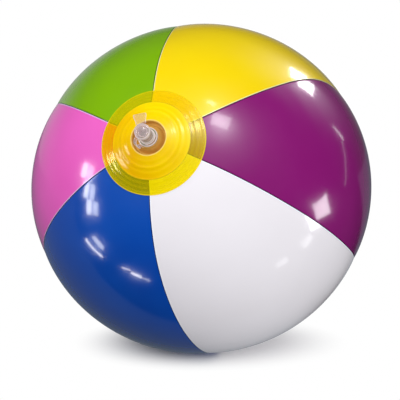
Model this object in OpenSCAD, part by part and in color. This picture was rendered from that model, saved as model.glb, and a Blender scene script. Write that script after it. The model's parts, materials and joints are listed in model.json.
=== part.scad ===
// Inflatable beach ball: six welded vinyl panels, an end disc at each pole and a push-in valve.
// The ball stands on its flat contact patch at the origin, +Z up, with the valve leaning out toward -Y.

/* [Ball] */
// Width of the inflated ball across its equator
ball_d = 330; // [300:5:380]
// Distance from pole to pole, as a share of the width
pole_share = 0.934; // [0.92:0.002:0.96]
// Height left once the ball stands under its own weight, as a share
stand_share = 0.971; // [0.96:0.001:0.985]
// Tilt of the valve's axis above level, in degrees
valve_lean = 26; // [15:1:50]
// Diameter of the flat patch that the ball rests on
patch_d = 42; // [30:1:50]
// Thickness of the vinyl film
film_t = 0.3; // [0.2:0.05:0.4]
// Gap kept between two layers of film that lie on each other
layer_gap = 0.08; // [0.05:0.01:0.15]

/* [Seams] */
// Width of the strips that the green, blue and purple panels tuck under their neighbours
lap_w = 4; // [3:0.5:6]
// How far the film dips toward its seams, over the whole panel
lobe_dip = 0.65; // [0:0.05:1.5]
// Depth of the narrow valley along each seam
seam_dip = 0.45; // [0:0.05:1]
// Distance over which the narrow valley fades out
seam_soft = 9; // [6:1:14]

/* [End discs] */
// Diameter of the disc welded over each pole
disc_d = 90; // [84:1:96]
// Diameter of the opening that the panels leave at each pole
panel_hole_d = 66; // [60:1:70]
// Height of the dome at the valve's pole
valve_dome = 9; // [4:0.5:10]
// Height of the dome at the far pole
rear_dome = 3; // [2:0.5:5]
// Width of one ridge of the ring weld
weld_w = 1.6; // [1:0.1:2]
// Height of one ridge of the ring weld
weld_h = 0.3; // [0.1:0.05:0.4]

/* [Valve] */
// Diameter of the hole in the film and of the well below it
well_d = 29.4; // [28:0.2:31]
// Diameter of the flange welded under the film
flange_d = 49; // [44:1:54]
// Thickness of the flange
flange_t = 0.9; // [0.7:0.1:1.2]
// Depth of the well below the film
well_depth = 5; // [4:0.5:6]
// Diameter of the collar round the stem
collar_d = 16.4; // [15:0.2:18]
// Outer diameter of the stem
stem_d = 11.2; // [10.6:0.2:12]
// Bore of the stem, which takes a pump's nozzle
bore_d = 7; // [6.6:0.1:7.4]
// Height of the stem's mouth above the film
mouth_h = 14.5; // [14:0.5:16]
// Length of the stem from its mouth to its inner end
stem_len = 30; // [27:1:32]

/* [Stopper] */
// Diameter of the stopper's cap
cap_d = 13; // [12.4:0.2:14]
// Height of the cap, dome included
cap_h = 7; // [6.5:0.5:8]
// Diameter of the plug below the cap
plug_d = 6.9; // [6.8:0.02:6.96]
// Length of the plug below the cap
plug_len = 5; // [4:0.5:6]
// Width of the pull tab at its free end
tab_end_w = 11; // [9:0.5:12]
// Width of the pull tab at its neck
tab_neck_w = 8.6; // [7:0.2:10]
// Distance from the cap's middle to the tab's free end
tab_reach = 14.5; // [12:0.5:15]
// Direction of the pull tab round the cap, in degrees
tab_angle = 104; // [90:1:115]
// Rise of the pull tab toward its free end, in degrees
tab_rise = 10; // [0:1:15]
// Direction of the tether round the cap, in degrees
tether_angle = 235; // [210:1:250]
// Width of the tether
tether_w = 4.4; // [3:0.2:5]
// Thickness of the tether and of the pull tab
strap_t = 1; // [0.8:0.1:1.2]

/* [Hidden] */

ball_r = ball_d / 2;
pole_r = ball_r * pole_share;
disc_r = disc_d / 2;
hole_r = panel_hole_d / 2;
well_r = well_d / 2;
flange_r = flange_d / 2;
collar_r = collar_d / 2;
stem_r = stem_d / 2;
bore_r = bore_d / 2;
layer = film_t + layer_gap;

// Each seam runs from pole to pole: its place at the equator, its sway between equator and pole,
// and the shift of its tip under the valve disc, all in degrees round the valve's axis.
seams = [
  [35.5, 7, -9], [101.5, -2.5, -2], [159.5, -4.5, 3],
  [213.5, 0.5, -2.5], [280, -0.5, -5.5], [340, 0.5, 3],
];

// The round caps at both poles keep their exact shape; the rest of the ball sags and dips at the seams.
cap_angle = 17;
cap_blend = 33;
// Height of the ball's middle, so that the sagged underside is cut to the contact patch
under_r = sqrt(pow(ball_r * cos(valve_lean), 2) + pow(pole_r * sin(valve_lean), 2));
patch_cut = patch_d * patch_d / (8 * ball_r);
mid_z = stand_share * under_r - patch_cut;
// Offset of the ball's middle, so that the contact patch is centred on the origin
mid_y = (ball_r * ball_r - pole_r * pole_r) * sin(valve_lean) * cos(valve_lean) / under_r;

// Rows of a panel from pole to pole and columns across it
rim_g = asin(hole_r / ball_r);
rim_rows = [rim_g, 12.6, 13.8, 15, 16.2, 18.5];
patch_from = 76 + valve_lean;
patch_to = 104 + valve_lean;
rows = concat(
  rim_rows,
  [for (k = [0 : 12]) 22 + k / 13 * (patch_from - 22)],
  [for (g = [patch_from : 4 : patch_to]) g],
  [for (k = [1 : 4]) patch_to + k / 4 * (158 - patch_to)],
  [for (k = [5 : -1 : 0]) 180 - rim_rows[k]]
);
tucked_cols = [0.06, 0.12, 0.2, 0.3, 0.4, 0.5, 0.6, 0.7, 0.8, 0.88, 0.94];
plain_cols = concat([0, 0.02], tucked_cols, [0.98, 1]);
// A tucked edge as [distance past the seam, distance from the seam, depth]: the strip under the
// neighbour, then the step up beside the neighbour's cut edge
step_w = 1;
edge_gap = 0.3;
tucked_edge = [
  [-lap_w, lap_w, layer], [-lap_w / 2, lap_w / 2, layer],
  [edge_gap, edge_gap, layer], [step_w, step_w, 0],
];

// Soft step from 0 at x = 0 to 1 at x = 1
function soft(x) = let (c = min(max(x, 0), 1)) c * c * (3 - 2 * c);

// 0 in the caps at both poles and 1 over the rest
function body_share(g) = soft((min(g, 180 - g) - cap_angle) / cap_blend);

// Height of the end disc's dome over the plain ball, at a distance from the axis
function dome(rho, height) = rho < disc_r ? height * pow(1 - pow(rho / disc_r, 2), 2) : 0;

// Height of the film above the ball's middle, along the valve's axis, in the cap at the valve
function front_z(rho, out = 0) =
  (pole_r + out) * sqrt(1 - pow(rho / (ball_r + out), 2)) + dome(rho, valve_dome);

// The same at the far pole, measured the other way
function rear_z(rho, out = 0) =
  (pole_r + out) * sqrt(1 - pow(rho / (ball_r + out), 2)) + dome(rho, rear_dome);

// Longitude of a seam at polar angle g
function seam_at(i, g) =
  seams[i % 6][0] + (i > 5 ? 360 : 0) + seams[i % 6][1] * sin(2 * g)
  + seams[i % 6][2] * pow(max(cos(g), 0), 2);

// From the valve's frame to the standing ball: tilt, sag and lift, and no lower than the floor allows
function stand(p, share, depth) =
  let (
    y = p[1] * sin(valve_lean) - p[2] * cos(valve_lean),
    z = p[1] * cos(valve_lean) + p[2] * sin(valve_lean),
    sag = 1 + share * (stand_share - 1)
  )
  [p[0], y + mid_y, max(z * sag + mid_z, depth)];

// Point of a panel's film at polar angle g, longitude t, seam distance e (mm), panel share u and depth d
function film_point(g, t, e, u, d) =
  let (
    share = body_share(g),
    dip = share * (lobe_dip * pow(2 * u - 1, 2) + seam_dip * exp(-e / seam_soft)),
    rho = (ball_r - d - dip) * sin(g),
    side = g < 90 ? 1 : -1,
    top = (pole_r - d - dip) * cos(g) + side * dome(rho, g < 90 ? valve_dome : rear_dome)
  )
  stand([rho * cos(t), rho * sin(t), top], share, d);

// One row of a panel as [longitude, seam distance, share, depth] across it; every second panel is tucked
function across(i, g) =
  let (
    start = seam_at(i, g),
    mm = PI * ball_r * sin(g) / 180,
    wide = (seam_at(i + 1, g) - start) * mm,
    tucked = i % 2 == 1,
    edge = tucked ? tucked_edge : []
  )
  concat(
    [for (p = edge) [start + p[0] / mm, p[1], p[1] / wide, p[2]]],
    [for (u = tucked ? tucked_cols : plain_cols) [start + u * wide / mm, min(u, 1 - u) * wide, u, 0]],
    [for (k = [len(edge) - 1 : -1 : 0]) let (p = edge[k])
      [start + (wide - p[0]) / mm, p[1], p[1] / wide, p[2]]]
  );

// Triangles between n loops of m points each
function ring_faces(n, m) =
  [for (j = [0 : n - 2]) for (k = [0 : m - 1]) for (f = [0, 1])
    let (a = j * m + k, b = j * m + (k + 1) % m, c = a + m, d = b + m)
    f == 0 ? [a, b, d] : [a, d, c]];

// A panel: each row is a closed loop, out along the film's outside and back along its inside
module panel(i) {
  loops = [for (g = rows) let (line = across(i, g), last = len(line) - 1)
    concat(
      [for (p = line) film_point(g, p[0], p[1], p[2], p[3])],
      [for (k = [last : -1 : 0]) film_point(g, line[k][0], line[k][1], line[k][2], line[k][3] + film_t)]
    )];
  n = len(loops);
  m = len(loops[0]);
  half = m / 2;
  base = (n - 1) * m;
  ends = [for (k = [0 : half - 2]) for (f = [0, 1])
    f == 0 ? [k, m - 1 - k, m - 2 - k] : [k, m - 2 - k, k + 1]];
  polyhedron(
    points = [for (l = loops) for (p = l) p],
    faces = concat(
      ring_faces(n, m),
      ends,
      [for (f = ends) [f[2] + base, f[1] + base, f[0] + base]]
    ),
    convexity = 6
  );
}

// Places a piece built along the valve's axis, with its zero at the ball's middle
module on_axis() {
  translate([0, mid_y, mid_z]) rotate([90 - valve_lean, 0, 0]) children();
}

// Places a piece built from the film's level at the well
module at_valve(lift = 0) {
  on_axis() translate([0, 0, front_z(well_r) + lift]) children();
}

// Half section of a disc: its inside follows the film, its outside is one film further out
function disc_line(radii, out, front) =
  [for (rho = radii) let (level = out + weld_rise(rho, out))
    [rho, front ? front_z(rho, level) : rear_z(rho, level)]];

// Height of the weld ridges, on the outside only
weld_radii = [disc_r - 9, disc_r - 5.5, disc_r - 2];
function weld_rise(rho, out) =
  out > layer_gap ? weld_h * max([for (w = weld_radii) max(0, 1 - abs(rho - w) * 2 / weld_w)]) : 0;

weld_steps = [for (w = weld_radii) for (s = [-0.5, 0, 0.5]) w + s * weld_w];

module valve_disc() {
  radii = concat([well_r, 18, 22, 26, 30, 33.5], weld_steps, [disc_r]);
  outer = disc_line(radii, layer, true);
  inner = disc_line(radii, layer_gap, true);
  color("gold", 0.7) on_axis() rotate_extrude($fn = 96)
    polygon(concat(outer, [for (k = [len(inner) - 1 : -1 : 0]) inner[k]]));
}

module rear_disc() {
  radii = concat([0, 6, 12, 18, 22, 26, 30, 33.5], weld_steps, [disc_r]);
  outer = disc_line(radii, layer, false);
  inner = disc_line(radii, layer_gap, false);
  color("gold", 0.7) on_axis() rotate([180, 0, 0]) rotate_extrude($fn = 96)
    polygon(concat(outer, [for (k = [len(inner) - 1 : -1 : 0]) inner[k]]));
}

// Lip at the well's foot
lip_r = well_r - 2.6;
lip_low = -well_depth - flange_t;

// Flange under the film, its steep well wall and the floor lip that carries the cuff
module valve_flange() {
  film = front_z(well_r);
  top = [for (rho = [flange_r, 21, 18, well_r]) [rho, front_z(rho) - film]];
  low = [for (p = [top[3], top[2], top[1], top[0]]) [p[0], p[1] - flange_t]];
  well = [
    [well_r - 0.5, -0.6], [well_r - 1.1, -well_depth + 0.6], [well_r - 1.7, -well_depth],
    [lip_r, -well_depth], [lip_r, lip_low], [well_r - 1.2, lip_low],
    [well_r - 0.2, -well_depth],
  ];
  color("khaki", 0.6) at_valve() rotate_extrude($fn = 96) polygon(concat(top, well, low));
}

// Soft cuff that turns inside out when the valve is pushed in
cuff_gap = 0.05;
module valve_cuff() {
  foot_r = lip_r - cuff_gap;
  top_r = collar_r + cuff_gap;
  outside = [[foot_r, lip_low], [foot_r, -well_depth + 0.1], [top_r + 2, -1.2], [top_r, 0.8]];
  inside = [[top_r, -0.4], [top_r + 1.2, -1.8], [foot_r - 1, lip_low]];
  color("khaki", 0.6) at_valve() rotate_extrude($fn = 96) polygon(concat(outside, inside));
}

// Stem: foot rim, collar with the lower rib above it, and a rib at the mouth
collar_low = -1.4;
collar_top = 2.4;
rib_r = stem_r + 0.5;
module valve_stem() {
  inner_z = mouth_h - stem_len;
  foot_r = stem_r + 0.6;
  outline = [
    [bore_r, inner_z], [foot_r, inner_z], [foot_r, inner_z + 1.4], [stem_r, inner_z + 2],
    [stem_r, collar_low - 0.8], [collar_r, collar_low], [collar_r, collar_top - 0.4],
    [collar_r - 0.5, collar_top], [rib_r, collar_top + 0.2], [rib_r, collar_top + 1.7],
    [stem_r, collar_top + 2.2], [stem_r, mouth_h - 2.6], [rib_r, mouth_h - 2.2], [rib_r, mouth_h - 0.6],
    [stem_r, mouth_h], [bore_r, mouth_h],
  ];
  color("whitesmoke", 0.6) at_valve() rotate_extrude($fn = 64) polygon(outline);
}

// Flap that covers the stem's inner end, hinged at its edge by a thin strap
flap_r = stem_r + 0.2;
flap_gap = 0.3;
flap_t = 0.8;
hinge_w = 4;
hinge_reach = 1;
module check_flap() {
  color("whitesmoke", 0.6) at_valve(mouth_h - stem_len - flap_gap - flap_t) {
    cylinder(r = flap_r, h = flap_t, $fn = 48);
    translate([-hinge_w / 2, 0, 0]) cube([hinge_w, flap_r + hinge_reach, flap_t]);
  }
}

cap_gap = 0.05;
cap_r = cap_d / 2;
skirt_h = 2.6;
dome_h = cap_h - skirt_h;
// Hollow stopper: skirt, dome and a plug that fills the bore
module stopper() {
  plug_r = plug_d / 2;
  dome_line = [for (a = [0 : 9 : 81]) [(cap_r - 0.4) * cos(a), skirt_h + dome_h * sin(a)]];
  outline = concat(
    [[plug_r - 1, -plug_len], [plug_r - 0.4, -plug_len], [plug_r, -plug_len + 0.8], [plug_r, 0],
      [cap_r - 0.3, 0], [cap_r, 0.4], [cap_r, 1.6], [cap_r - 0.4, 2]],
    dome_line,
    [[0, cap_h], [0, cap_h - 1.2], [plug_r - 1, cap_h - 1.8]]
  );
  color("white", 0.6) at_valve(mouth_h + cap_gap) rotate_extrude($fn = 64) polygon(outline);
}

// Tab that fingers pull, flared toward its free end
module pull_tab() {
  corner = 1.4;
  neck = cap_r + 0.1;
  end_x = tab_end_w / 2 - corner;
  end_y = tab_reach - corner;
  color("white", 0.6) at_valve(mouth_h + cap_gap + 0.6) rotate([tab_rise, 0, tab_angle - 90])
    linear_extrude(strap_t) polygon(concat(
      [[-tab_neck_w / 2, neck], [tab_neck_w / 2, neck], [tab_neck_w / 2, cap_r + 2]],
      [for (a = [0 : 15 : 90]) [end_x + corner * cos(a), end_y + corner * sin(a)]],
      [for (a = [90 : 15 : 180]) [-end_x + corner * cos(a), end_y + corner * sin(a)]],
      [[-tab_neck_w / 2, cap_r + 2]]
    ));
}

// Strap that keeps the stopper on the valve: a bow from the collar up to the cap's skirt
bow = 4;
tether_low = collar_top - 1;
tether_high = mouth_h + cap_gap + 1.2;
function bow_point(a, out) =
  let (share = (1 + sin(a)) / 2)
  [
    collar_r + (cap_r - collar_r) * share + 0.05 + (bow + out) * cos(a),
    tether_low + (tether_high - tether_low) * share + out * sin(a),
  ];
module tether() {
  turns = [for (a = [-90 : 15 : 90]) a];
  color("white", 0.6) at_valve() rotate([0, 0, tether_angle]) rotate([90, 0, 0])
    linear_extrude(tether_w, center = true) polygon(concat(
      [for (a = turns) bow_point(a, strap_t / 2)],
      [for (a = turns) bow_point(-a, -strap_t / 2)]
    ));
}

module panel_yellow() { color("yellow") panel(0); }
module panel_green() { color("yellowgreen") panel(1); }
module panel_pink() { color("hotpink") panel(2); }
module panel_blue() { color("royalblue") panel(3); }
module panel_white() { color("white") panel(4); }
module panel_purple() { color("purple") panel(5); }

panel_yellow();
panel_green();
panel_pink();
panel_blue();
panel_white();
panel_purple();
valve_disc();
rear_disc();
valve_flange();
valve_cuff();
valve_stem();
check_flap();
stopper();
pull_tab();
tether();
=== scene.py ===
import json
import math
import bpy
import numpy as np
from mathutils import Matrix, Vector


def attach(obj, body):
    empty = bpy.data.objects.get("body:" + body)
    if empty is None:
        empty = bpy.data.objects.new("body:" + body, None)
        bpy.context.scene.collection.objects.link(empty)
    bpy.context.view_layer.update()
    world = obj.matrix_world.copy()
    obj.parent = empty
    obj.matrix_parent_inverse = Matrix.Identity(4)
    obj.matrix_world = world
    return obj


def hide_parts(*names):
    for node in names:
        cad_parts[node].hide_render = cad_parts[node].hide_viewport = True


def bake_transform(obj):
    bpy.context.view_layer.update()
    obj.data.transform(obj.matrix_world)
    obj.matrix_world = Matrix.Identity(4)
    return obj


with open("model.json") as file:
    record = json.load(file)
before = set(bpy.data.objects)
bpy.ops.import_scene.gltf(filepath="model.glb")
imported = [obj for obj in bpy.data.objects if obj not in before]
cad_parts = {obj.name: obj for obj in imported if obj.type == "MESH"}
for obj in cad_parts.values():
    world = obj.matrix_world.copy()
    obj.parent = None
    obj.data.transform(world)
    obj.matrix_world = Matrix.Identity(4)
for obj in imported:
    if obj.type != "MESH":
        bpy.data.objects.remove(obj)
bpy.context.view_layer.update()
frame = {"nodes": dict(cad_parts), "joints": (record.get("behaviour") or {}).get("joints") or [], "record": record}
record = frame["record"]
joints = {j["name"]: j for j in frame["joints"]}
mounts = {m["name"]: m for m in record["mounts"]}
print("frame loaded:", len(frame["nodes"]), "nodes")

# The ball as it was designed
ball = {
    "radius": 0.165,        # at the equator
    "poleShare": 0.934,     # pole to pole, as a share of the width
    "standShare": 0.971,    # height kept under its own weight
    "lobeDip": 0.00065,     # film dips this much toward its seams
    "seamDip": 0.00045,     # and this much more in a narrow valley
    "seamSoft": 0.009,      # over which the valley fades
    "film": 0.0003,
    "layer": 0.00038,       # one film and the gap over it
    "lap": 0.004,           # strip tucked under the next panel
    "discRadius": 0.045,
    "holeRadius": 0.033,    # opening left by the panels
    "frontDome": 0.009,
    "rearDome": 0.003,
    "capAngle": 17.0,       # caps that stay round, degrees from the poles
    "capBlend": 33.0,
    "ripple": 0.00012,      # slight waviness of the blown film
}
# Seams round the valve's axis: place at the equator, sway between equator and pole, shift of the tip
seams = np.array([
    [35.5, 7, -9], [101.5, -2.5, -2], [159.5, -4.5, 3],
    [213.5, 0.5, -2.5], [280, -0.5, -5.5], [340, 0.5, 3],
])
poleRadius = ball["radius"] * ball["poleShare"]

# The valve's axis and places along it come from the frame
axis = np.array(joints["stopper_pull"]["axis"], float)
axis /= np.linalg.norm(axis)
side = np.array([1.0, 0.0, 0.0])
upward = np.cross(axis, side)
mouth = np.array(mounts["pump_mouth"]["pos_m"], float)
valve = {
    "wellRadius": 0.0147,
    "wellDepth": 0.005,
    "flangeRadius": 0.0245,
    "flangeThick": 0.0009,
    "collarRadius": 0.0082,
    "collarLow": -0.0014,
    "collarTop": 0.0024,
    "stemRadius": 0.0056,
    "boreRadius": 0.0035,
    "mouthHeight": 0.0145,
    "stemLength": 0.030,
    "capRadius": 0.0065,
    "capHeight": 0.007,
    "plugRadius": 0.00345,
    "plugLength": 0.005,
    "strapThick": 0.001,
    "tabAngle": 104.0,
    "tabRise": 10.0,
    "tabReach": 0.0145,
    "tabEndWidth": 0.011,
    "tabNeckWidth": 0.0086,
    "tetherAngle": 235.0,
    "tetherWidth": 0.0044,
    "bow": 0.004,
    "joinGap": 0.00005,
}


def softStep(x):
    c = np.clip(x, 0, 1)
    return c * c * (3 - 2 * c)


def dome(rho, height):
    # height times (1 - (rho / disc radius) squared) squared, zero outside the disc
    return height * np.clip(1 - (rho / ball["discRadius"]) ** 2, 0, 1) ** 2


def capHeight(rho, height, out=0.0):
    # ellipsoid's height over the middle at that distance from the axis, plus the dome
    plain = (poleRadius + out) * np.sqrt(1 - (rho / (ball["radius"] + out)) ** 2)
    return plain + dome(rho, height)


seatHeight = float(capHeight(valve["wellRadius"], ball["frontDome"]))
middle = mouth - axis * (seatHeight + valve["mouthHeight"])


def fromAxis(points):
    # valve frame to standing frame: across, upward, along the axis
    p = np.asarray(points, float)
    return middle + p[..., 0:1] * side + p[..., 1:2] * upward + p[..., 2:3] * axis


def fromSeat(points):
    p = np.array(points, float)
    p[..., 2] += seatHeight
    return fromAxis(p)


def ripples(g, t):
    # sum of a few long waves over the ball, about 45 to 80 mm from crest to crest
    waves = ((5, 0.3, 1.0), (7, 1.9, 0.7), (11, 4.2, 0.6), (13, 2.2, 0.45))
    gr, tr = np.radians(g), np.radians(t)
    total = 0.0
    for count, phase, weight in waves:
        total = total + weight * np.sin(count * 2 * gr + phase + 1.7 * np.sin(tr * 2 + phase))
        total = total + weight * np.sin(count * tr * np.sin(gr) + 2.3 * phase + gr * 3)
    return total / 4


def filmSurface(g, t, edge, share, depth):
    # ellipsoid point at polar angle g and longitude t, lowered by lobe, valley, ripple and depth,
    # then leaned with the axis, sagged, lifted and kept above the floor
    gr, tr = np.radians(g), np.radians(t)
    body = softStep((np.minimum(g, 180 - g) - ball["capAngle"]) / ball["capBlend"])
    valley = ball["lobeDip"] * (2 * share - 1) ** 2 + ball["seamDip"] * np.exp(-edge / ball["seamSoft"])
    dip = body * (valley + ball["ripple"] * ripples(g, t))
    rho = (ball["radius"] - depth - dip) * np.sin(gr)
    tall = np.where(g < 90, ball["frontDome"], -ball["rearDome"])
    top = (poleRadius - depth - dip) * np.cos(gr) + dome(rho, 1.0) * tall
    local = np.stack([rho * np.cos(tr), rho * np.sin(tr), top], -1)
    world = fromAxis(local)
    world[..., 2] = middle[2] + (world[..., 2] - middle[2]) * (1 + body * (ball["standShare"] - 1))
    floorLevel = np.broadcast_to(depth, world[..., 2].shape)
    world[..., 2] = np.maximum(world[..., 2], floorLevel)
    return world


def seamAt(index, g):
    # place + sway * sin 2g + tip * (cos g, front half only) squared
    turn = 360.0 * (index // 6)
    place, sway, tip = seams[index % 6]
    gr = np.radians(g)
    return place + turn + sway * np.sin(2 * gr) + tip * np.maximum(np.cos(gr), 0) ** 2


def makeObject(name, points, faces, attributes=None):
    mesh = bpy.data.meshes.new(name)
    mesh.from_pydata(np.asarray(points, float).reshape(-1, 3), [], faces)
    mesh.update()
    for key, values in (attributes or {}).items():
        layer = mesh.attributes.new(key, "FLOAT", "POINT")
        layer.data.foreach_set("value", np.asarray(values, np.float32).ravel())
    mesh.polygons.foreach_set("use_smooth", np.ones(len(mesh.polygons), bool))
    mesh.update()
    obj = bpy.data.objects.new(name, mesh)
    bpy.context.scene.collection.objects.link(obj)
    return obj


def gridFaces(n, m, wrapRows=False, wrapLoop=True):
    # quads between n loops of m points, wrapping round either way if asked
    j = np.arange(n if wrapRows else n - 1)[:, None]
    k = np.arange(m if wrapLoop else m - 1)[None, :]
    a, b = j * m + k, j * m + (k + 1) % m
    c, d = ((j + 1) % n) * m + k, ((j + 1) % n) * m + (k + 1) % m
    return np.stack([a, c, d, b], -1).reshape(-1, 4)


def shellOfLoops(name, loops, attributes=None):
    # closed thin shell: every loop runs out along one face and back along the other; both ends are capped
    n, m = loops.shape[:2]
    half = m // 2
    k = np.arange(half - 1)
    near = np.stack([k, k + 1, m - 2 - k, m - 1 - k], -1)
    far = near[:, ::-1] + (n - 1) * m
    faces = np.concatenate([gridFaces(n, m), near, far])
    return makeObject(name, loops, faces.tolist(), attributes)


def revolve(name, profile, steps=128, closed=True, attributes=None, place=fromSeat):
    # profile (distance from axis, height) turned round the axis; an open profile starts and ends on the axis
    turn = np.linspace(0, 2 * np.pi, steps, endpoint=False)
    ring = profile if closed else profile[1:-1]
    rho, z = ring[:, 0][:, None], ring[:, 1][:, None]
    grid = np.stack([rho * np.cos(turn), rho * np.sin(turn), z + 0 * turn], -1)
    n, m = grid.shape[:2]
    faces = gridFaces(n, m, wrapRows=closed).tolist()
    points = grid.reshape(-1, 3)
    if not closed:
        ends = np.array([[0, 0, profile[0, 1]], [0, 0, profile[-1, 1]]])
        points = np.concatenate([points, ends])
        k = np.arange(m)
        first = np.stack([k, (k + 1) % m, np.full(m, n * m)], -1)
        last = np.stack([(n - 1) * m + (k + 1) % m, (n - 1) * m + k, np.full(m, n * m + 1)], -1)
        faces += first.tolist() + last.tolist()
    return makeObject(name, place(points), faces, attributes)


def roundedLine(corners, radius, closed=True, arc=6):
    # each corner becomes a short curve that starts and ends at most `radius` from it
    p = np.asarray(corners, float)
    before, after = np.roll(p, 1, 0) - p, np.roll(p, -1, 0) - p
    mostShare = 0.45    # of its shorter side, that a corner may take
    shorter = np.minimum(np.linalg.norm(before, axis=1), np.linalg.norm(after, axis=1))
    reach = np.minimum(radius, mostShare * shorter)
    if not closed:
        reach[0] = reach[-1] = 0
    a = p + before / np.linalg.norm(before, axis=1)[:, None] * reach[:, None]
    b = p + after / np.linalg.norm(after, axis=1)[:, None] * reach[:, None]
    s = np.linspace(0, 1, arc)[None, :, None]
    curve = (1 - s) ** 2 * a[:, None] + 2 * s * (1 - s) * p[:, None] + s ** 2 * b[:, None]
    return curve.reshape(-1, 2)


def resample(line, spacing, closed=True):
    # evenly spaced points along a line
    p = np.concatenate([line, line[:1]]) if closed else line
    gap = np.linalg.norm(np.diff(p, axis=0), axis=1)
    keep = np.concatenate([[True], gap > 1e-9])
    p = p[keep]
    run = np.concatenate([[0], np.cumsum(np.linalg.norm(np.diff(p, axis=0), axis=1))])
    count = max(8, int(round(run[-1] / spacing)))
    at = np.linspace(0, run[-1], count, endpoint=not closed)
    return np.stack([np.interp(at, run, p[:, 0]), np.interp(at, run, p[:, 1])], -1)


def outwardCheck(obj):
    # turns the faces round if the closed piece came out inside out
    mesh = obj.data
    mesh.calc_loop_triangles()
    co = np.zeros(len(mesh.vertices) * 3)
    mesh.vertices.foreach_get("co", co)
    co = co.reshape(-1, 3)
    tri = np.zeros(len(mesh.loop_triangles) * 3, int)
    mesh.loop_triangles.foreach_get("vertices", tri)
    a, b, c = (co[tri.reshape(-1, 3)[:, i]] for i in range(3))
    centre = co.mean(0)
    volume = np.einsum("ij,ij->i", a - centre, np.cross(b - centre, c - centre)).sum()
    if volume < 0:
        mesh.flip_normals()


def linear(r, g, b):
    # 0 to 255 display values to linear light
    c = np.array([r, g, b], float) / 255
    return tuple(np.where(c <= 0.04045, c / 12.92, ((c + 0.055) / 1.055) ** 2.4)) + (1.0,)


def newMaterial(name):
    mat = bpy.data.materials.new(name)
    mat.use_nodes = True
    nodes, links = mat.node_tree.nodes, mat.node_tree.links
    nodes.clear()
    out = nodes.new("ShaderNodeOutputMaterial")
    return mat, nodes, links, out


def addNoise(nodes, links, scale, detail=2.0, roughness=0.5):
    where = nodes.new("ShaderNodeTexCoord")
    noise = nodes.new("ShaderNodeTexNoise")
    noise.inputs["Scale"].default_value = scale
    noise.inputs["Detail"].default_value = detail
    noise.inputs["Roughness"].default_value = roughness
    links.new(where.outputs["Object"], noise.inputs["Vector"])
    return noise.outputs["Fac"]


def mapRange(nodes, links, value, low, high, toLow, toHigh):
    node = nodes.new("ShaderNodeMapRange")
    node.inputs["From Min"].default_value = low
    node.inputs["From Max"].default_value = high
    node.inputs["To Min"].default_value = toLow
    node.inputs["To Max"].default_value = toHigh
    links.new(value, node.inputs["Value"])
    return node.outputs["Result"]


def mixColour(nodes, links, factor, a, b):
    node = nodes.new("ShaderNodeMix")
    node.data_type = "RGBA"
    links.new(factor, node.inputs["Factor"])
    for value, socket in ((a, node.inputs[6]), (b, node.inputs[7])):
        if isinstance(value, tuple):
            socket.default_value = value
        else:
            links.new(value, socket)
    return node.outputs[2]


def dotWith(nodes, links, vector, direction):
    node = nodes.new("ShaderNodeVectorMath")
    node.operation = "DOT_PRODUCT"
    node.inputs[1].default_value = tuple(direction)
    links.new(vector, node.inputs[0])
    return node.outputs["Value"]


def maths(nodes, links, operation, *values):
    node = nodes.new("ShaderNodeMath")
    node.operation = operation
    for value, socket in zip(values, node.inputs):
        if isinstance(value, (int, float)):
            socket.default_value = value
        else:
            links.new(value, socket)
    return node.outputs["Value"]


def mixShader(nodes, links, factor, a, b):
    node = nodes.new("ShaderNodeMixShader")
    for value, socket in zip((factor, a, b), node.inputs):
        links.new(value, socket)
    return node.outputs["Shader"]


def vinylMaterial(name, colour, deep, seamHighlightAndShadow, edgeWidth, paintedGlow):
    # opaque glossy vinyl: faint pigment clouds, a smooth surface with a very fine grain, and a seam line painted
    # lighter as a highlight on panels that lie over and darker as a shadow on panels that lie under;
    # a painted glow stands in for light from inside the ball let through a pale film
    mat, nodes, links, out = newMaterial(name)
    bsdf = nodes.new("ShaderNodeBsdfPrincipled")
    bsdf.inputs["IOR"].default_value = 1.52
    clouds = mapRange(nodes, links, addNoise(nodes, links, 14.0, 3.0), 0.3, 0.7, 0.0, 1.0)
    base = mixColour(nodes, links, clouds, colour, deep)
    edge = nodes.new("ShaderNodeAttribute")
    edge.attribute_name = "edge"
    # painted seam line: a highlight along the cut edge of panels that lie over, a shadow beside the seam on panels
    # that lie under
    line = mapRange(nodes, links, edge.outputs["Fac"], edgeWidth * 0.4, edgeWidth, 1.0, 0.0)
    links.new(mixColour(nodes, links, line, base, seamHighlightAndShadow), bsdf.inputs["Base Color"])
    # painted glow: emission in the panel's own colour, standing in for light from inside the ball let through the
    # pale film
    bsdf.inputs["Emission Color"].default_value = colour
    bsdf.inputs["Emission Strength"].default_value = paintedGlow
    rough = mapRange(nodes, links, addNoise(nodes, links, 45.0, 4.0, 0.6), 0.3, 0.7, 0.13, 0.20)
    links.new(rough, bsdf.inputs["Roughness"])
    bsdf.inputs["Coat Weight"].default_value = 0.55
    bsdf.inputs["Coat Roughness"].default_value = 0.05
    bump = nodes.new("ShaderNodeBump")
    bump.inputs["Strength"].default_value = 0.25
    bump.inputs["Distance"].default_value = 0.00004
    links.new(addNoise(nodes, links, 700.0, 2.0), bump.inputs["Height"])
    links.new(bump.outputs["Normal"], bsdf.inputs["Normal"])
    links.new(bsdf.outputs["BSDF"], out.inputs["Surface"])
    return mat


def glossOver(nodes, links, under, normal, least, roughness):
    # clear gloss over whatever is under it: share = least + 0.8 x (1 - least) x (1 - facing) to the fifth
    weight = nodes.new("ShaderNodeLayerWeight")
    weight.inputs["Blend"].default_value = 0.5
    links.new(normal, weight.inputs["Normal"])
    steep = maths(nodes, links, "POWER", weight.outputs["Facing"], 5.0)
    share = maths(nodes, links, "MULTIPLY_ADD", steep, 0.8 * (1 - least), least)
    gloss = nodes.new("ShaderNodeBsdfGlossy")
    gloss.inputs["Roughness"].default_value = roughness
    links.new(normal, gloss.inputs["Normal"])
    return mixShader(nodes, links, share, under, gloss.outputs["BSDF"])


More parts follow.
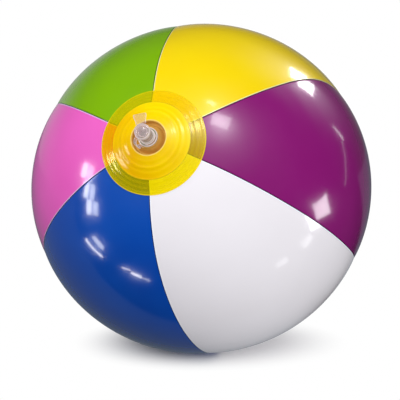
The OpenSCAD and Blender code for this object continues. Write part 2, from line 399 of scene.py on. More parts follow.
def discMaterial(name):
    # see-through yellow film: clearer where it lies on the panels, milkier where it spans their opening,
    # and deeper amber toward the lower left, a painted shade on the side away from the light, varied by random
    # tone
    mat, nodes, links, out = newMaterial(name)
    body = nodes.new("ShaderNodeBsdfPrincipled")
    body.inputs["IOR"].default_value = 1.52
    body.inputs["Roughness"].default_value = 0.4
    body.inputs["Specular IOR Level"].default_value = 0.0
    yellow, amber, pale = linear(255, 226, 0), linear(244, 188, 0), linear(255, 234, 8)
    where = nodes.new("ShaderNodeTexCoord").outputs["Object"]
    # painted shade: the film turns deeper amber toward the lower left, away from the light
    shadeSide = -0.75 * side - 0.66 * upward
    towardShade = dotWith(nodes, links, where, shadeSide)
    start = float(np.dot(fromAxis([[0.0, 0.0, poleRadius]])[0], shadeSide))
    tone = maths(nodes, links, "ADD", mapRange(nodes, links, towardShade, start - 0.022, start + 0.030, 0.0, 0.9),
                 mapRange(nodes, links, addNoise(nodes, links, 38.0, 3.0), 0.3, 0.7, -0.25, 0.25))
    reach = nodes.new("ShaderNodeAttribute")
    reach.attribute_name = "reach"
    onPanels = mapRange(nodes, links, reach.outputs["Fac"], 0.0325, 0.0335, 0.0, 1.0)
    inner = mixColour(nodes, links, tone, yellow, amber)
    filmTone = mixColour(nodes, links, onPanels, inner, pale)
    # painted highlight: the film is lightened to pale cream next to the hole's edge
    rim = mapRange(nodes, links, reach.outputs["Fac"], 0.0148, 0.0157, 0.8, 0.0)
    shown = mixColour(nodes, links, rim, filmTone, linear(255, 238, 160))
    links.new(shown, body.inputs["Base Color"])
    links.new(shown, body.inputs["Emission Color"])             # painted glow standing in for light from inside the ball
    body.inputs["Emission Strength"].default_value = 0.09
    clear = nodes.new("ShaderNodeBsdfTransparent")
    clear.inputs["Color"].default_value = (1.0, 0.96, 0.04, 1)
    zone = mapRange(nodes, links, onPanels, 0.0, 1.0, 0.80, 0.21)
    edgeZone = mapRange(nodes, links, reach.outputs["Fac"], 0.0440, 0.0446, 0.0, 0.3)
    zone = maths(nodes, links, "ADD", zone, edgeZone)
    # each ring weld is milkier: share of exp(-((reach - ring) / width) squared)
    for ring in weld["radii"] + weld["inner"]:
        off = maths(nodes, links, "DIVIDE", maths(nodes, links, "SUBTRACT", reach.outputs["Fac"], ring),
                    weld["width"] * 0.4)
        fall = maths(nodes, links, "MULTIPLY", maths(nodes, links, "MULTIPLY", off, off), -1.0)
        fall = maths(nodes, links, "EXPONENT", fall)
        zone = maths(nodes, links, "MULTIPLY_ADD", fall, weld["milk"] if ring > 0.03 else 0.03, zone)
    film = mixShader(nodes, links, zone, clear.outputs["BSDF"], body.outputs["BSDF"])
    bump = nodes.new("ShaderNodeBump")
    bump.inputs["Strength"].default_value = 0.3
    bump.inputs["Distance"].default_value = 0.0001
    links.new(addNoise(nodes, links, 120.0, 2.0), bump.inputs["Height"])
    links.new(bump.outputs["Normal"], body.inputs["Normal"])
    links.new(glossOver(nodes, links, film, bump.outputs["Normal"], 0.04, 0.12), out.inputs["Surface"])
    return mat


def clearMaterial(name, tint, body, milk, rim, creaseHighlight, roughness, paintedClearGlow):
    # clear soft vinyl: see-through at the middle, whiter toward its outline, and whiter along its edges as a
    # painted highlight;
    # a painted glow in the body colour; opacity = milk + rim x (1 - facing) squared + crease highlight x crease, a
    # glossy body over a see-through one
    mat, nodes, links, out = newMaterial(name)
    bsdf = nodes.new("ShaderNodeBsdfPrincipled")
    clouds = mapRange(nodes, links, addNoise(nodes, links, 180.0, 3.0), 0.3, 0.7, 0.0, 1.0)
    dim = tuple(0.86 * c for c in body[:3]) + (1,)
    links.new(mixColour(nodes, links, clouds, body, dim), bsdf.inputs["Base Color"])
    bsdf.inputs["IOR"].default_value = 1.54
    bsdf.inputs["Roughness"].default_value = 0.4
    bsdf.inputs["Specular IOR Level"].default_value = 0.0
    # painted glow: emission in the body colour
    bsdf.inputs["Emission Color"].default_value = body
    bsdf.inputs["Emission Strength"].default_value = paintedClearGlow
    bump = nodes.new("ShaderNodeBump")
    bump.inputs["Strength"].default_value = 0.5
    bump.inputs["Distance"].default_value = 0.0001
    links.new(addNoise(nodes, links, 260.0, 2.0), bump.inputs["Height"])
    links.new(bump.outputs["Normal"], bsdf.inputs["Normal"])
    clear = nodes.new("ShaderNodeBsdfTransparent")
    facing = nodes.new("ShaderNodeLayerWeight")
    facing.inputs["Blend"].default_value = 0.5
    links.new(bump.outputs["Normal"], facing.inputs["Normal"])
    square = maths(nodes, links, "MULTIPLY", facing.outputs["Facing"], facing.outputs["Facing"])
    slanted = tuple(0.5 * c for c in tint[:3]) + (1,)            # the way through is longer on a slant
    links.new(mixColour(nodes, links, square, tint, slanted), clear.inputs["Color"])
    crease = nodes.new("ShaderNodeAttribute")
    crease.attribute_name = "crease"
    share = maths(nodes, links, "MULTIPLY_ADD", square, rim, milk)
    # painted highlight: creases and narrow sides made whiter
    share = maths(nodes, links, "MULTIPLY_ADD", crease.outputs["Fac"], creaseHighlight, share)
    both = mixShader(nodes, links, share, clear.outputs["BSDF"], bsdf.outputs["BSDF"])
    links.new(glossOver(nodes, links, both, bump.outputs["Normal"], 0.07, roughness), out.inputs["Surface"])
    return mat


panelLooks = {
    "yellow": {"seam": 0, "colour": (252, 222, 0), "deep": (250, 216, 0), "over": True},
    "green": {"seam": 1, "colour": (130, 186, 0), "deep": (124, 180, 0), "over": False},
    "pink": {"seam": 2, "colour": (246, 104, 204), "deep": (242, 98, 198), "over": True},
    "blue": {"seam": 3, "colour": (12, 80, 184), "deep": (8, 72, 174), "over": False},
    # the white panel carries a painted glow, standing in for light let through its film from inside the ball
    "white": {"seam": 4, "colour": (222, 219, 224), "deep": (218, 215, 220), "over": True, "paintedGlow": 0.29},
    "purple": {"seam": 5, "colour": (142, 24, 118), "deep": (136, 20, 112), "over": False},
}
panelRows = 200
rimAngle = math.degrees(math.asin(ball["holeRadius"] / ball["radius"]))


def panelRowAngles():
    # even over the ball, closer together in the caps
    s = np.linspace(-1, 1, panelRows)
    spread = s + 0.06 * np.sin(np.pi * s)
    return 90 + (90 - rimAngle) * spread / spread[-1]


def makePanel(colour, look):
    g = panelRowAngles()[:, None]
    start, stop = seamAt(look["seam"], g), seamAt(look["seam"] + 1, g)
    mm = np.pi * ball["radius"] * np.sin(np.radians(g)) / 180      # metres per degree
    wide = (stop - start) * mm
    gap = 0.0003
    fine = np.array([0.0, 0.0002, 0.0005, 0.0009, 0.0014, 0.002, 0.003, 0.0042, 0.006, 0.008, 0.0105, 0.0135])
    crowdWidth = 0.06    # seam columns crowd together where the panel is narrower than this
    squeeze = np.minimum(1.0, wide / crowdWidth)
    main = np.linspace(0, 1, 34)[1:-1]
    if look["over"]:
        lead, sunk = fine, fine * 0
    else:
        lead = np.concatenate([[-ball["lap"], -ball["lap"] / 2], [gap, gap * 1.5], fine[3:]])
        sunk = np.concatenate([[1, 1, 1, 0.8, 0.25, 0.0], np.zeros(len(lead) - 6)])
    lead = lead[None, :] * np.where(lead > gap * 2, squeeze, 1.0)
    inner = lead[:, -1:] + (wide - 2 * lead[:, -1:]) * main[None, :]
    out = np.concatenate([lead, inner, wide - lead[:, ::-1]], 1)     # distance from the first seam
    depth = np.concatenate([sunk, np.zeros(len(main)), sunk[::-1]])[None, :] * ball["layer"]
    edge = np.clip(np.minimum(out, wide - out), 0, None)
    share = np.clip(out / wide, 0, 1)
    t = start + out / mm
    depth = depth + 0 * out
    gg = g + 0 * out
    front = filmSurface(gg, t, edge, share, depth)
    back = filmSurface(gg, t, edge, share, depth + ball["film"])
    loops = np.concatenate([front, back[:, ::-1]], 1)
    marks = np.concatenate([edge, edge[:, ::-1]], 1)
    obj = shellOfLoops("panel_" + colour + "_skin", loops, {"edge": marks})
    outwardCheck(obj)
    over = look["over"]
    tint = np.array(look["colour"], float)
    sheen = np.array([225.0, 240.0, 255.0])
    # painted highlight on the cut edge of panels that lie over, pale bluish like the room it mirrors; painted
    # shadow beside the seam on panels that lie under
    seamHighlightAndShadow = linear(*(tint + (sheen - tint) * 0.7)) if over else linear(*(tint * 0.38))
    mat = vinylMaterial(colour + "Vinyl", linear(*look["colour"]), linear(*look["deep"]), seamHighlightAndShadow,
                        0.0010 if over else 0.0011, look.get("paintedGlow", 0.0))
    obj.data.materials.append(mat)
    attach(obj, "ball")
    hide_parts("panel_" + colour)
    return obj


for colour, look in panelLooks.items():
    makePanel(colour, look)
print("panels made")


weld = {"radii": (0.036, 0.0395, 0.043), "inner": (0.0195, 0.0245, 0.0285), "width": 0.0026, "height": 0.0001,
        "innerHeight": (0.00012, 0.00036, 0.00012), "milk": 0.055}


def discLine(inner, height, out):
    # film profile from the inner radius to the rim, with weld ridges and the step at the panels' edge
    rho = np.linspace(inner, ball["discRadius"], 150)
    heights = (weld["height"],) * 3 + weld["innerHeight"]
    ridge = sum(h * np.exp(-((rho - r) / (weld["width"] * 0.5)) ** 2)
                for h, r in zip(heights, weld["radii"] + weld["inner"]))
    step = -0.00025 * (1 - softStep((rho - 0.0318) / 0.0018))
    z = capHeight(rho, height, ball["layer"] - ball["film"] + out) + step + ridge
    return np.stack([rho, z], -1)


discLook = discMaterial("discFilm")


def makeDisc(name, node, inner, height, place):
    top = discLine(inner, height, ball["film"])
    low = discLine(inner, height, 0.0)
    if inner > 0:
        line, closed = np.concatenate([top, low[::-1]]), True
    else:
        line, closed = np.concatenate([top, low[::-1]]), False
    steps = 256
    if closed:
        reach = np.repeat(line[:, 0], steps)
    else:
        reach = np.concatenate([np.repeat(line[1:-1, 0], steps), [0, 0]])
    obj = revolve(name, line, steps, closed, {"reach": reach}, place)
    outwardCheck(obj)
    obj.data.materials.append(discLook)
    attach(obj, "ball")
    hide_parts(node)
    return obj


def fromRear(points):
    p = np.array(points, float)
    p[..., 1:] *= -1
    return fromAxis(p)


makeDisc("valve_disc_skin", "valve_disc", valve["wellRadius"], ball["frontDome"], fromAxis)
makeDisc("rear_disc_skin", "rear_disc", 0.0, ball["rearDome"], fromRear)
print("discs made")

# painted shade: flange, cuff and flap get a milky amber-brown body and amber tint standing in for the shaded well
# under the yellow film
clearSoftAmberShade = clearMaterial("clearSoftVinyl", (0.9, 0.6, 0.3, 1), (0.90, 0.53, 0.11, 1),
                          0.5, 0.3, 0.3, 0.14, 0.07)
# stem and stopper: stronger painted glow and painted highlights along their edges
clearStem = clearMaterial("clearStemVinyl", (0.94, 0.88, 0.84, 1), (0.97, 0.88, 0.82, 1),
                          0.07, 0.42, 0.75, 0.08, 0.30)
clearStopper = clearMaterial("clearStopper", (0.95, 0.91, 0.91, 1), (0.97, 0.89, 0.93, 1),
                             0.08, 0.45, 0.55, 0.06, 0.28)


def finishPiece(obj, node, bodies, mat):
    outwardCheck(obj)
    obj.data.materials.append(mat)
    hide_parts(node)
    if len(bodies) == 2:
        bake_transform(obj)
    else:
        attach(obj, bodies[0])
    return obj


def creaseOf(line, closed=True):
    # how sharply a profile turns at each point, 0 to 1, spread over its neighbours
    ahead = np.roll(line, -1, 0) - line
    behind = line - np.roll(line, 1, 0)
    turn = np.abs(np.cross(np.pad(behind, ((0, 0), (0, 1))), np.pad(ahead, ((0, 0), (0, 1))))[:, 2])
    turn = turn / (np.linalg.norm(ahead, axis=1) * np.linalg.norm(behind, axis=1) + 1e-12)
    if not closed:
        turn[[0, -1]] = 0
    wide = (turn + 0.7 * np.roll(turn, 1) + 0.7 * np.roll(turn, -1)) / 0.8
    return np.clip(wide, 0, 1)


def turnedPiece(name, line, steps, closed=True):
    # profile turned round the valve's axis, its edges marked for the material's painted highlight
    outside = np.clip((line[:, 0] - 0.0024) / 0.002, 0, 1)      # the bore's own edges stay clear
    crease = creaseOf(line, closed) * outside
    marks = np.repeat(crease, steps) if closed else np.concatenate([np.repeat(crease[1:-1], steps), [0, 0]])
    return revolve(name, line, steps, closed, {"crease": marks})


def makeFlange():
    r, d, t = valve["wellRadius"], valve["wellDepth"], valve["flangeThick"]
    rho = np.linspace(valve["flangeRadius"], r, 24)
    top = np.stack([rho, capHeight(rho, ball["frontDome"]) - seatHeight - 0.0003], -1)
    low = top[::-1] - [0, t]
    well = np.array([[r - 0.0005, -0.0006], [r - 0.0011, -d + 0.0006], [r - 0.0017, -d], [r - 0.0026, -d],
                     [r - 0.0026, -d - t], [r - 0.0012, -d - t], [r - 0.0002, -d]])
    line = np.concatenate([top, well, low])
    line = resample(roundedLine(line, 0.0004), 0.00025)
    obj = turnedPiece("valve_flange_ring", line, 128)
    return finishPiece(obj, "valve_flange", ["ball"], clearSoftAmberShade)


def makeCuff():
    r, d, t = valve["wellRadius"], valve["wellDepth"], valve["flangeThick"]
    foot, top = r - 0.0026 - valve["joinGap"], valve["collarRadius"] + valve["joinGap"]
    line = np.array([[foot, -d - t], [foot, -d + 0.0001], [top + 0.002, -0.0012], [top, 0.0008],
                     [top, -0.0004], [top + 0.0012, -0.0018], [foot - 0.001, -d - t]])
    line = resample(roundedLine(line, 0.0008), 0.0002)
    obj = turnedPiece("valve_cuff_skin", line, 128)
    ends = fromSeat(np.array([[0, 0, -d], [0, 0, 0.0]]))
    return finishPiece(obj, "valve_cuff", ["ball", "valve"], clearSoftAmberShade)


def makeStem():
    b, s, c, h = valve["boreRadius"], valve["stemRadius"], valve["collarRadius"], valve["mouthHeight"]
    low, foot, z = h - valve["stemLength"], valve["collarLow"], valve["collarTop"]
    line = np.array([
        [b, low], [s + 0.0006, low], [s + 0.0006, low + 0.0014], [s, low + 0.002],
        [s, foot - 0.0008], [c, foot], [c, z - 0.0004], [c - 0.0005, z],
        [s + 0.0005, z + 0.0002], [s + 0.0005, z + 0.0017], [s, z + 0.0022],
        [s, h - 0.0026], [s + 0.0005, h - 0.0022], [s + 0.0005, h - 0.0006],
        [s, h], [b, h],
    ])
    line = resample(roundedLine(line, 0.0004), 0.0002)
    obj = turnedPiece("valve_stem_body", line, 96)
    return finishPiece(obj, "valve_stem", ["valve"], clearStem)


def makeStopper():
    p, c, h = valve["plugRadius"], valve["capRadius"], valve["capHeight"]
    skirt = 0.0026
    a = np.radians(np.linspace(0, 86, 24))
    bulge = np.stack([(c - 0.0004) * np.cos(a), skirt + (h - skirt) * np.sin(a)], -1)
    plug = np.array([[0, h - 0.0012], [p - 0.001, h - 0.0018], [p - 0.001, -valve["plugLength"]],
                     [p - 0.0004, -valve["plugLength"]], [p, -valve["plugLength"] + 0.0008], [p, 0],
                     [c - 0.0003, 0], [c, 0.0004], [c, 0.0016], [c - 0.0004, 0.002]])
    line = np.concatenate([plug, bulge, [[0, h]]])
    line = resample(roundedLine(line, 0.0004, closed=False), 0.0002, closed=False)
    line[[0, -1], 0] = 0
    line[:, 1] += valve["mouthHeight"] + valve["joinGap"]
    obj = turnedPiece("stopper_cap", line, 96, closed=False)
    return finishPiece(obj, "stopper", ["stopper"], clearStopper)


def turned(points, degrees):
    # turns points round the valve's axis
    a = math.radians(degrees)
    p = np.array(points, float)
    x, y = p[..., 0].copy(), p[..., 1].copy()
    p[..., 0] = x * math.cos(a) - y * math.sin(a)
    p[..., 1] = x * math.sin(a) + y * math.cos(a)
    return p


def plateLoops(centres, acrossDir, thickDir, widths, thicks, around=40):
    # a rounded flat section (superellipse) carried along a path
    a = np.linspace(0, 2 * np.pi, around, endpoint=False)
    cx = np.sign(np.cos(a)) * np.abs(np.cos(a)) ** 0.35
    cy = np.sign(np.sin(a)) * np.abs(np.sin(a)) ** 0.6
    return (centres[:, None] + cx[None, :, None] * (widths / 2)[:, None, None] * acrossDir[:, None]
            + cy[None, :, None] * (thicks / 2)[:, None, None] * thickDir[:, None])


def cappedTube(name, loops):
    # closed tube of loops, each end closed by a fan to its middle; its narrow sides count as edges and get the
    # painted highlight
    n, m = loops.shape[:2]
    sideOn = np.abs(np.cos(np.linspace(0, 2 * np.pi, m, endpoint=False))) ** 6
    marks = np.concatenate([np.tile(sideOn, n), [0, 0]])
    points = np.concatenate([loops.reshape(-1, 3), loops[0].mean(0)[None], loops[-1].mean(0)[None]])
    k = np.arange(m)
    first = np.stack([k, (k + 1) % m, np.full(m, n * m)], -1)
    last = np.stack([(n - 1) * m + (k + 1) % m, (n - 1) * m + k, np.full(m, n * m + 1)], -1)
    faces = gridFaces(n, m).tolist() + first.tolist() + last.tolist()
    return makeObject(name, points, faces, {"crease": marks})


def makeTab():
    c = valve["capRadius"]
    s = np.linspace(0, 1, 60)
    start, stop = c - 0.0002, valve["tabReach"]
    run = start + (stop - start) * s
    flare = softStep((run - c - 0.0015) / (stop - c - 0.003))
    widths = valve["tabNeckWidth"] + (valve["tabEndWidth"] - valve["tabNeckWidth"]) * flare
    corner = np.clip((run - (stop - 0.0014)) / 0.0014, 0, 1)
    widths = widths - 0.0028 * (1 - np.sqrt(np.clip(1 - corner ** 2, 0, 1)))
    thicks = valve["strapThick"] * (1 + 0.35 * np.exp(-((stop - run - 0.0008) / 0.0006) ** 2))
    thicks = thicks * np.where(corner > 0.9, 0.6 + 4 * (1 - corner), 1)
    rise = math.radians(valve["tabRise"])
    mid = valve["strapThick"] / 2
    centres = np.stack([0 * run, run * math.cos(rise) - mid * math.sin(rise),
                        run * math.sin(rise) + mid * math.cos(rise)], -1)
    centres[:, 2] += valve["mouthHeight"] + valve["joinGap"] + 0.0006
    across = np.tile([1.0, 0, 0], (60, 1))
    thick = np.tile([0, -math.sin(rise), math.cos(rise)], (60, 1))
    loops = plateLoops(centres, across, thick, widths, thicks)
    obj = cappedTube("pull_tab_plate", fromSeat(turned(loops, valve["tabAngle"] - 90)))
    return finishPiece(obj, "pull_tab", ["stopper"], clearStopper)


def makeTether():
    a = np.radians(np.linspace(-90, 90, 70))
    low = valve["collarTop"] - 0.001
    high = valve["mouthHeight"] + valve["joinGap"] + 0.0012
    share = (1 + np.sin(a)) / 2
    inward = valve["capRadius"] - valve["collarRadius"]
    rho = valve["collarRadius"] + inward * share + valve["bow"] * np.cos(a)
    z = low + (high - low) * share
    centres = np.stack([rho, 0 * rho, z], -1)
    along = np.gradient(centres, axis=0)
    along /= np.linalg.norm(along, axis=1)[:, None]
    across = np.tile([0, 1.0, 0], (len(a), 1))
    thick = np.cross(across, along)
    widths = valve["tetherWidth"] * (0.66 + 0.62 * np.exp(-((a + 0.62) / 0.40) ** 2))
    thicks = np.full(len(a), valve["strapThick"])
    loops = plateLoops(centres, across, thick, widths, thicks)
    obj = cappedTube("tether_strap", fromSeat(turned(loops, valve["tetherAngle"])))
    ends = fromSeat(np.array([[0, 0, low + 0.001], [0, 0, high - 0.0005]]))
    return finishPiece(obj, "tether", ["valve", "stopper"], clearStopper)


def makeFlap():
    r = valve["stemRadius"] + 0.0002
    t = 0.0008
    z = valve["mouthHeight"] - valve["stemLength"] - 0.0003 - t
    a = np.linspace(0, 2 * np.pi, 96, endpoint=False)
    tongue = np.clip((np.sin(a) - 0.93) / 0.07, 0, 1)
    reach = r + 0.001 * softStep(tongue)
    s = np.array([0, 0.5, 0.8, 0.94, 0.99, 1.0, 0.99, 0.94, 0.8, 0.5, 0])
    lift = np.array([0.0001, 0.0001, 0.00006, 0, 0.0001, t / 2, t - 0.0001, t, t, t, t])
    ring = s[1:-1, None] * reach[None, :]
    grid = np.stack([ring * np.cos(a), ring * np.sin(a), (z + lift[1:-1])[:, None] + 0 * ring], -1)
    loops = fromSeat(grid)
    obj = cappedTube("check_flap_disc", loops)
    return finishPiece(obj, "check_flap", ["flap"], clearSoftAmberShade)


makeFlange()
makeCuff()
makeStem()
makeStopper()
makeTab()
makeTether()
makeFlap()
print("valve made")

cameraSet = {"azimuth": 16.8, "elevation": 12.0, "distance": 0.825, "lens": 75.5, "shift": (-0.0007, -0.0313)}
turnOf, riseOf = math.radians(cameraSet["azimuth"]), math.radians(cameraSet["elevation"])
studioFront = np.array([math.sin(turnOf), -math.cos(turnOf), 0.0])
studioRight = np.array([math.cos(turnOf), math.sin(turnOf), 0.0])

# Each mirror panel: name, start of the ray from the ball's middle, direction, distance,
# long side's direction, its length, its width, glow. They light only the gloss.
studio = {
    "floorSize": 8.0,
    "floorColour": (0.93, 0.93, 0.935, 1),
    "bounceLeast": 0.02,        # floor glow for diffuse light at the far left
    "bounceSteps": ((-0.03, 0.06, 0.46), (0.08, 0.26, 0.40)),   # how it rises rightward
    "shadowWide": (1.7, 2.05),  # contact shadow, width to depth, at the left and at the right
    "shadowFrom": 0.030,
    "shadowTo": 0.076,
    "tableFront": 0.137,        # the table's edge, in front of the ball's middle, as the gloss shows it
    "tableGlow": 0.15,
    "hazeColour": (0.72, 0.86, 1.0, 1),
    "roomGlow": 0.02,
    "backGlow": 0.36,
    "backRange": (-0.12, -0.95),        # how far behind the ball the bright back starts and is full
    "backLater": (0.0, 0.6, 0.30),      # at the right it starts later by this much
    "backFade": (0.12, 0.42, 0.06),     # it fades upward between two heights to this share
    "backRight": (-0.2, 0.6, 0.3),      # and toward the right to this share
    "diffuseUp": 0.21,
    "diffuseFront": 2.5,
    "frontLean": (-0.12, 0.20),     # the front light leans left and up by these shares
    "diffuseLeft": 0.36,
    "diffuseBack": 0.5,
    "rightDim": 0.55,               # what is left of that light at the far right
    "lowDim": (0.40, 0.0, 0.42),    # and what is left at the horizon, and between which heights it comes back
    "lobes": (
        ((0.32, -0.52, 0.79), 17.0, 1.3),
        ((0.31, -0.51, 0.80), 90.0, 4.0),
        ((0.45, 0.62, 0.64), 30.0, 1.2),
    ),
    "mirrors": (
        ("backRight", (0, 0, 0), (0.47, 0.606, 0.64), 1.3, (0.5, -0.7, 0.1), 0.26, 0.20, 14.0),
        ("keyRight", (0, 0, 0), (0.31, -0.51, 0.80), 1.2, (1, 0, 0), 0.22, 0.18, 6.0),
        ("keyLeft", (0, 0, 0), (0.19, -0.385, 0.905), 1.2, (1, 0, 0), 0.11, 0.05, 8.0),
        ("rightStreak", (0.139, -0.046, 0.069), (0.69, 0.645, 0.30), 0.6, (0.1, 0.3, -1), 0.10, 0.018, 3.5),
        ("rightLine", (0.147, -0.057, 0.040), (0.80, 0.59, 0.12), 0.6, (0.6, -0.4, -1), 0.24, 0.012, 1.3),
        ("lowRight", (0.131, -0.094, 0.007), (0.985, 0.08, -0.13), 0.3, (0, 1, 0.3), 0.10, 0.08, 9.0),
        ("lowMiddle", (0.122, -0.105, -0.016), (0.935, -0.03, -0.35), 0.3, (0, 0.6, 0.8), 0.055, 0.035, 2.5),
        ("lowLeft", (0.106, -0.117, -0.033), (0.80, -0.235, -0.56), 0.18, (0, 0.6, 0.8), 0.035, 0.018, 2.0),
        ("gridLong", (-0.049, -0.148, -0.025), (-0.786, -0.446, -0.427), 0.22, (0.147, -0.102, -0.162),
         0.072, 0.008, 14.0),
        ("gridShort", (-0.044, -0.150, -0.019), (-0.763, -0.53, -0.37), 0.22, (0.126, -0.075, -0.156),
         0.046, 0.015, 9.0),
        ("floorStreakA", (-0.017, -0.152, -0.040), (-0.52, -0.60, -0.60), 0.14, (0.07, -0.03, -0.03),
         0.020, 0.005, 12.0),
        ("floorStreakB", (-0.008, -0.152, -0.044), (-0.42, -0.615, -0.66), 0.14, (0.08, -0.02, -0.04),
         0.026, 0.006, 18.0),
        ("floorStreakC", (0.001, -0.152, -0.048), (-0.32, -0.63, -0.70), 0.14, (0.07, -0.02, -0.04),
         0.018, 0.005, 9.0),
    ),
    "window": {"azimuths": (-57.0, -52.0), "elevations": (-3.0, 4.5, 12.5), "slant": -0.45, "upright": 4.0,
               "pane": (0.068, 0.125), "distance": 1.0, "glow": (13.0, 9.0)},
}


def onlyGloss(nodes, links, path):
    # 1 for mirrored rays that did not pass through anything clear
    clear = maths(nodes, links, "SUBTRACT", 1.0, path.outputs["Is Transmission Ray"])
    return maths(nodes, links, "MULTIPLY", path.outputs["Is Glossy Ray"], clear)


def makeFloor():
    # white table: diffuse under the ball, fading to plain white with the contact shadow's distance;
    # in the ball's gloss it ends at the table's front edge
    half = studio["floorSize"] / 2
    line = np.linspace(-half, half, 3)
    x, y = np.meshgrid(line, line)
    grid = np.stack([x, y, 0 * x - 0.0002], -1)
    faces = gridFaces(3, 3, wrapLoop=False)[:, ::-1]
    floor = makeObject("floor", grid, faces.tolist())
    mat, nodes, links, out = newMaterial("paleFloor")
    path = nodes.new("ShaderNodeLightPath")
    bsdf = nodes.new("ShaderNodeBsdfDiffuse")
    tone = mapRange(nodes, links, addNoise(nodes, links, 3.0), 0.3, 0.7, 0.0, 1.0)
    pale = studio["floorColour"]
    dim = tuple(0.985 * c for c in pale[:3]) + (1,)
    seen = mixColour(nodes, links, tone, pale, dim)
    where = nodes.new("ShaderNodeTexCoord").outputs["Object"]
    ahead = dotWith(nodes, links, where, studioFront)
    beside = dotWith(nodes, links, where, studioRight)
    links.new(seen, bsdf.inputs["Color"])
    bounce = nodes.new("ShaderNodeEmission")
    glow = studio["bounceLeast"]
    for start, stop, rise in studio["bounceSteps"]:
        glow = maths(nodes, links, "ADD", glow, mapRange(nodes, links, beside, start, stop, 0.0, rise))
    links.new(glow, bounce.inputs["Strength"])
    across = maths(nodes, links, "DIVIDE", beside,
                   mapRange(nodes, links, beside, -0.02, 0.05, *studio["shadowWide"]))
    aheadSquare = maths(nodes, links, "MULTIPLY", ahead, ahead)
    acrossSquare = maths(nodes, links, "MULTIPLY", across, across)
    reach = maths(nodes, links, "SQRT", maths(nodes, links, "ADD", aheadSquare, acrossSquare))
    fade = nodes.new("ShaderNodeMapRange")
    fade.interpolation_type = "SMOOTHSTEP"
    fade.inputs["From Min"].default_value = studio["shadowFrom"]
    fade.inputs["From Max"].default_value = studio["shadowTo"]
    links.new(reach, fade.inputs["Value"])
    white = nodes.new("ShaderNodeEmission")
    plain = maths(nodes, links, "MULTIPLY", fade.outputs["Result"], path.outputs["Is Camera Ray"])
    surface = mixShader(nodes, links, plain, bsdf.outputs["BSDF"], white.outputs["Emission"])
    mirror = nodes.new("ShaderNodeEmission")
    mirror.inputs["Color"].default_value = studio["hazeColour"]
    edge = studio["tableFront"] + float(np.dot(middle, studioFront))
    shown = mapRange(nodes, links, ahead, edge - 0.004, edge + 0.004, 1.0, 0.0)
    slant = maths(nodes, links, "MULTIPLY_ADD", ahead, 1.73, beside)
    gone = maths(nodes, links, "MULTIPLY", mapRange(nodes, links, slant, -0.03, 0.03, 0.0, 1.0),
                 mapRange(nodes, links, beside, 0.10, 0.16, 0.0, 1.0))
    shown = maths(nodes, links, "MULTIPLY", shown, maths(nodes, links, "SUBTRACT", 1.0, gone))
    links.new(maths(nodes, links, "MULTIPLY_ADD", shown, studio["tableGlow"], studio["roomGlow"]),
              mirror.inputs["Strength"])
    surface = mixShader(nodes, links, path.outputs["Is Diffuse Ray"], surface, bounce.outputs["Emission"])
    gloss = onlyGloss(nodes, links, path)
    links.new(mixShader(nodes, links, gloss, surface, mirror.outputs["Emission"]), out.inputs["Surface"])
    floor.data.materials.append(mat)


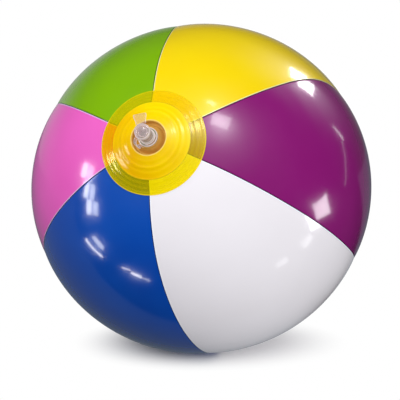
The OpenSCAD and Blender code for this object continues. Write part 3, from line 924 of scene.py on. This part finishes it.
def makeWorld():
    # camera rays see white; diffuse light = up + front + left + back shares; the gloss sees a dim room,
    # brighter behind the ball at the sides and dark above, plus soft lobes
    world = bpy.data.worlds.new("studio")
    bpy.context.scene.world = world
    world.use_nodes = True
    nodes, links = world.node_tree.nodes, world.node_tree.links
    nodes.clear()
    out = nodes.new("ShaderNodeOutputWorld")
    path = nodes.new("ShaderNodeLightPath")
    where = nodes.new("ShaderNodeTexCoord").outputs["Generated"]
    up = dotWith(nodes, links, where, (0, 0, 1))
    ahead = dotWith(nodes, links, where, studioFront)
    right = dotWith(nodes, links, where, studioRight)
    left = maths(nodes, links, "MULTIPLY", right, -1.0)
    leanRight, leanUp = studio["frontLean"]
    leaning = studioFront + leanRight * studioRight + leanUp * np.array([0, 0, 1])
    main = dotWith(nodes, links, where, leaning / np.linalg.norm(leaning))
    soft = 0.0
    behindIt = maths(nodes, links, "MULTIPLY", ahead, -1.0)
    sides = ((up, "diffuseUp"), (main, "diffuseFront"), (left, "diffuseLeft"), (behindIt, "diffuseBack"))
    for value, key in sides:
        facing = maths(nodes, links, "MAXIMUM", value, 0.0)
        soft = maths(nodes, links, "MULTIPLY_ADD", facing, studio[key], soft)
    dimmed = mapRange(nodes, links, right, 0.1, 0.9, 1.0, studio["rightDim"])
    soft = maths(nodes, links, "MULTIPLY", soft, dimmed)
    least, start, stop = studio["lowDim"]
    soft = maths(nodes, links, "MULTIPLY", soft, mapRange(nodes, links, up, start, stop, least, 1.0))

    start, stop, later = studio["backLater"]
    turned = maths(nodes, links, "ADD", ahead, mapRange(nodes, links, right, start, stop, 0.0, later))
    start, stop = studio["backRange"]
    behind = mapRange(nodes, links, turned, start, stop, 0.0, studio["backGlow"])
    start, stop, least = studio["backFade"]
    high = mapRange(nodes, links, up, start, stop, 1.0, least)
    start, stop, least = studio["backRight"]
    toRight = mapRange(nodes, links, right, start, stop, 1.0, least)
    room = maths(nodes, links, "MULTIPLY", maths(nodes, links, "MULTIPLY", behind, high), toRight)
    room = maths(nodes, links, "ADD", room, studio["roomGlow"])
    for direction, sharp, strength in studio["lobes"]:
        unit = np.array(direction) / np.linalg.norm(direction)
        fall = maths(nodes, links, "MULTIPLY_ADD", dotWith(nodes, links, where, unit), sharp, -sharp)
        lobe = maths(nodes, links, "EXPONENT", fall)
        room = maths(nodes, links, "MULTIPLY_ADD", lobe, strength, room)

    backgrounds = []
    layers = ((soft, (0.99, 0.985, 1.0, 1)), (room, (0.95, 0.97, 1.0, 1)), (1.0, (1, 1, 1, 1)))
    for strength, colour in layers:
        node = nodes.new("ShaderNodeBackground")
        node.inputs["Color"].default_value = colour
        if isinstance(strength, float):
            node.inputs["Strength"].default_value = strength
        else:
            links.new(strength, node.inputs["Strength"])
        backgrounds.append(node.outputs["Background"])
    lit = mixShader(nodes, links, onlyGloss(nodes, links, path), backgrounds[0], backgrounds[1])
    shown = mixShader(nodes, links, path.outputs["Is Camera Ray"], lit, backgrounds[2])
    links.new(shown, out.inputs["Surface"])


def mirrorLight(name, start, towards, distance, along, length, width, glow):
    # a panel seen only by the gloss; energy = glow x pi x area
    d = np.array(towards, float)
    d /= np.linalg.norm(d)
    x = np.array(along, float) - d * np.dot(along, d)
    x /= np.linalg.norm(x)
    light = bpy.data.lights.new(name, "AREA")
    light.shape = "RECTANGLE"
    light.size, light.size_y = length, width
    light.energy = glow * math.pi * length * width
    obj = bpy.data.objects.new(name, light)
    y = np.cross(d, x)
    place = middle + np.array(start, float) + d * distance
    turn = np.stack([x, y, d], 1)
    obj.matrix_world = Matrix([[*turn[i], place[i]] for i in range(3)] + [[0, 0, 0, 1]])
    obj.visible_diffuse = False
    obj.visible_camera = False
    bpy.context.scene.collection.objects.link(obj)


def makeLights():
    for item in studio["mirrors"]:
        mirrorLight(*item)
    window = studio["window"]
    for column, azimuth in enumerate(window["azimuths"]):
        for row, elevation in enumerate(window["elevations"]):
            a = math.radians(azimuth + window["slant"] * (elevation - window["upright"]))
            e = math.radians(elevation)
            d = (math.sin(a) * math.cos(e), -math.cos(a) * math.cos(e), math.sin(e))
            mirrorLight("window_%d_%d" % (column, row), (0, 0, 0), d, window["distance"], (0, 0, 1),
                        window["pane"][1], window["pane"][0], window["glow"][column])


def makeCamera():
    level = math.cos(riseOf)
    back = Vector((math.sin(turnOf) * level, -math.cos(turnOf) * level, math.sin(riseOf)))
    data = bpy.data.cameras.new("camera")
    data.lens = cameraSet["lens"]
    data.sensor_width = 36
    data.shift_x, data.shift_y = cameraSet["shift"]
    cam = bpy.data.objects.new("camera", data)
    cam.location = Vector(middle) + back * cameraSet["distance"]
    cam.rotation_mode = "QUATERNION"
    cam.rotation_quaternion = (-back).to_track_quat("-Z", "Y")
    bpy.context.scene.collection.objects.link(cam)
    bpy.context.scene.camera = cam


makeFloor()
makeWorld()
makeCamera()
makeLights()
bpy.context.scene.view_settings.view_transform = "Standard"
bpy.context.scene.view_settings.look = "None"
print("stage made")
